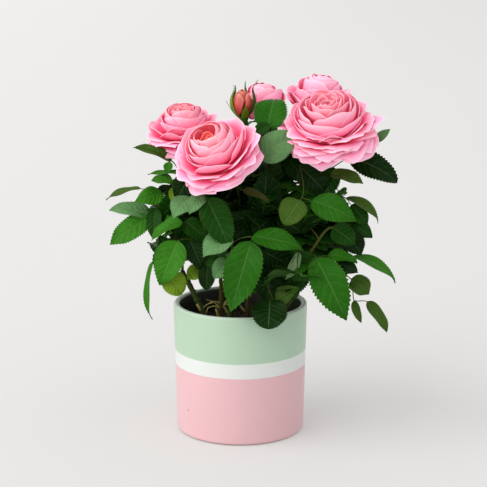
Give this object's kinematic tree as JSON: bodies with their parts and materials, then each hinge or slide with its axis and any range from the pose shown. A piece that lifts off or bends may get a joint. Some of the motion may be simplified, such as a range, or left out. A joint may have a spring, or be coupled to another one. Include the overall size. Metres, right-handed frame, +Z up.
{
  "type": "potted rose bush",
  "caption": "Miniature rose bush with full pink blooms and a bud over dense toothed foliage, growing in a straight glazed pot with horizontal colour bands.",
  "frame": {"origin": "middle of the pot's flat underside, on the surface that the pot stands on", "axes": "+Z up, -Y towards the side that the front bloom faces, +X to the right of someone facing that side"},
  "size_m": [0.288, 0.2037, 0.3425],
  "materials": {
    "glaze": "satin",
    "compost": "matte",
    "stem": "matte",
    "leaf": "satin",
    "petal": "matte",
    "bud": "matte"
  },
  "bodies": {
    "root": {"bloom_back": "petal", "bloom_front": "petal", "bloom_left": "petal", "bloom_middle": "petal", "bloom_right": "petal", "bud": "bud", "cane_back": "stem", "cane_front": "stem", "cane_left": "stem", "cane_low_right": "stem", "cane_middle": "stem", "cane_right": "stem", "foliage_back_left": "leaf", "foliage_back_middle": "leaf", "foliage_back_right": "leaf", "foliage_back_top": "leaf", "foliage_front_lower": "leaf", "foliage_front_right": "leaf", "foliage_front_upper": "leaf", "foliage_heart": "leaf", "foliage_left_core": "leaf", "foliage_left_lower": "leaf", "foliage_low_right": "leaf", "foliage_right_core": "leaf", "foliage_right_upper": "leaf", "foliage_top": "leaf", "pot": "glaze", "soil": "compost", "spray_back_left": "leaf", "spray_back_middle": "leaf", "spray_back_right": "leaf", "spray_front_hanging": "leaf", "spray_left_crest": "leaf", "spray_left_hanging": "leaf", "spray_left_middle": "leaf", "spray_left_upper": "leaf", "spray_over_rim": "leaf", "spray_right_crest": "leaf", "spray_right_far": "leaf", "spray_right_front": "leaf", "spray_right_hanging": "leaf", "spray_right_middle": "leaf", "stalk_back_bloom": "stem", "stalk_bud": "stem", "stalk_front_bloom": "stem", "stalk_left_bloom": "stem", "stalk_middle_bloom": "stem", "stalk_right_bloom": "stem"}
  },
  "joints": []
}
